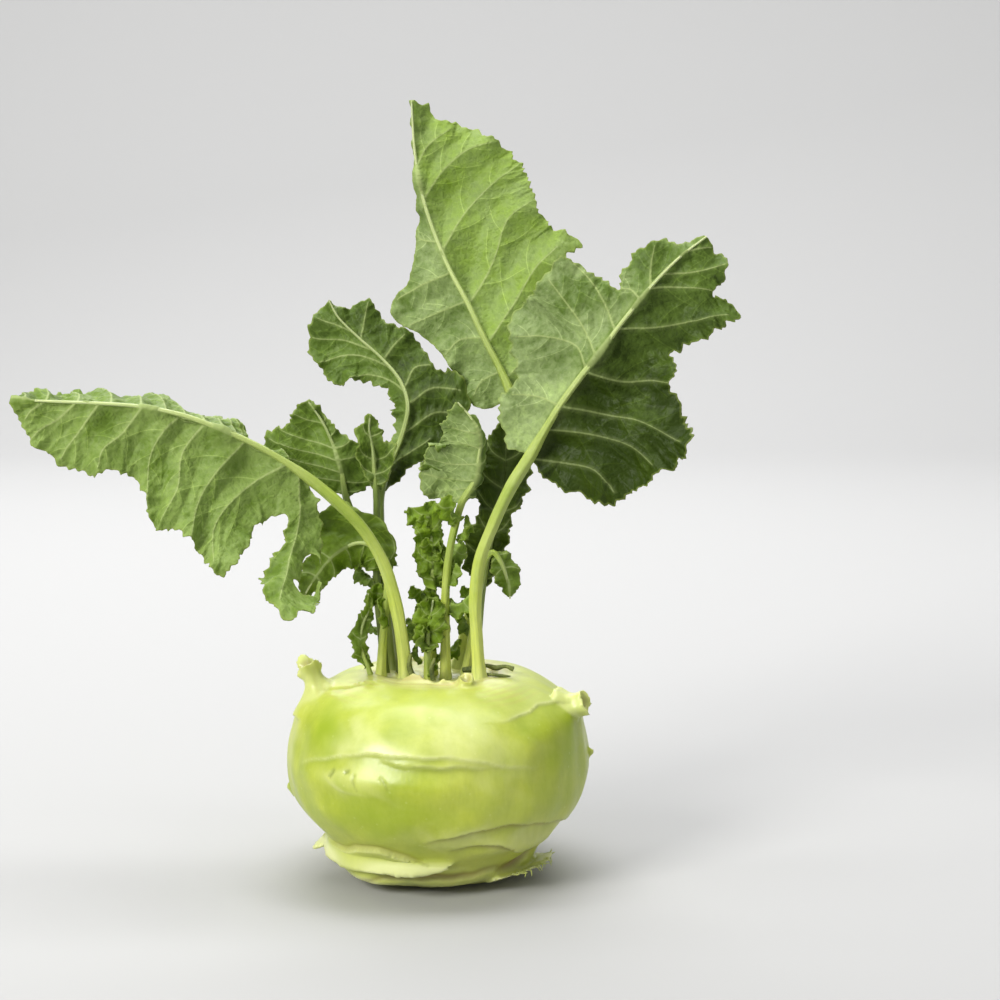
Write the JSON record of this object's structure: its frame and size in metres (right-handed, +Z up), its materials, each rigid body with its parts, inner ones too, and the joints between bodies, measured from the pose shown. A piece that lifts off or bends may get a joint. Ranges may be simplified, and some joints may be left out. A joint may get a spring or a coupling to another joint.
{
  "type": "kohlrabi",
  "caption": "Kohlrabi with a squat round pale green bulb, cut stalk stubs and curved leaf scars, long arching leaf stalks, broad lobed leaves and crinkled young leaves at the crown.",
  "frame": {"origin": "centre of the flat root cut under the bulb, which it rests on", "axes": "+Z up the bulb's axis, from the root cut to the leaves; -X towards the long arching leaf; -Y is the front, where the broad leaves show their undersides"},
  "size_m": [0.219, 0.0996, 0.245],
  "materials": {
    "bulb_skin": "satin",
    "leaf_stalk": "satin",
    "leaf_blade": "matte",
    "young_leaf": "matte"
  },
  "bodies": {
    "root": {"bulb": "bulb_skin", "left_leaf_stalk": "leaf_stalk", "left_leaf_blade": "leaf_blade", "tall_leaf_stalk": "leaf_stalk", "tall_leaf_blade": "leaf_blade", "right_leaf_stalk": "leaf_stalk", "right_leaf_blade": "leaf_blade", "curled_leaf_stalk": "leaf_stalk", "curled_leaf_blade": "leaf_blade", "frilled_leaf_stalk": "leaf_stalk", "frilled_leaf_blade": "leaf_blade", "forked_leaf_stalk": "leaf_stalk", "forked_leaf_blade": "leaf_blade", "low_leaf_stalk": "leaf_stalk", "low_leaf_blade": "leaf_blade", "centre_leaf_stalk": "leaf_stalk", "centre_leaf_blade": "leaf_blade", "dark_leaf_stalk": "leaf_stalk", "dark_leaf_blade": "leaf_blade", "side_leaf_stalk": "leaf_stalk", "side_leaf_blade": "leaf_blade", "strip_leaf_stalk": "leaf_stalk", "strip_leaf_blade": "leaf_blade", "young_leaf_upper_stalk": "leaf_stalk", "young_leaf_upper_blade": "young_leaf", "young_leaf_lower_stalk": "leaf_stalk", "young_leaf_lower_blade": "young_leaf"}
  },
  "joints": []
}
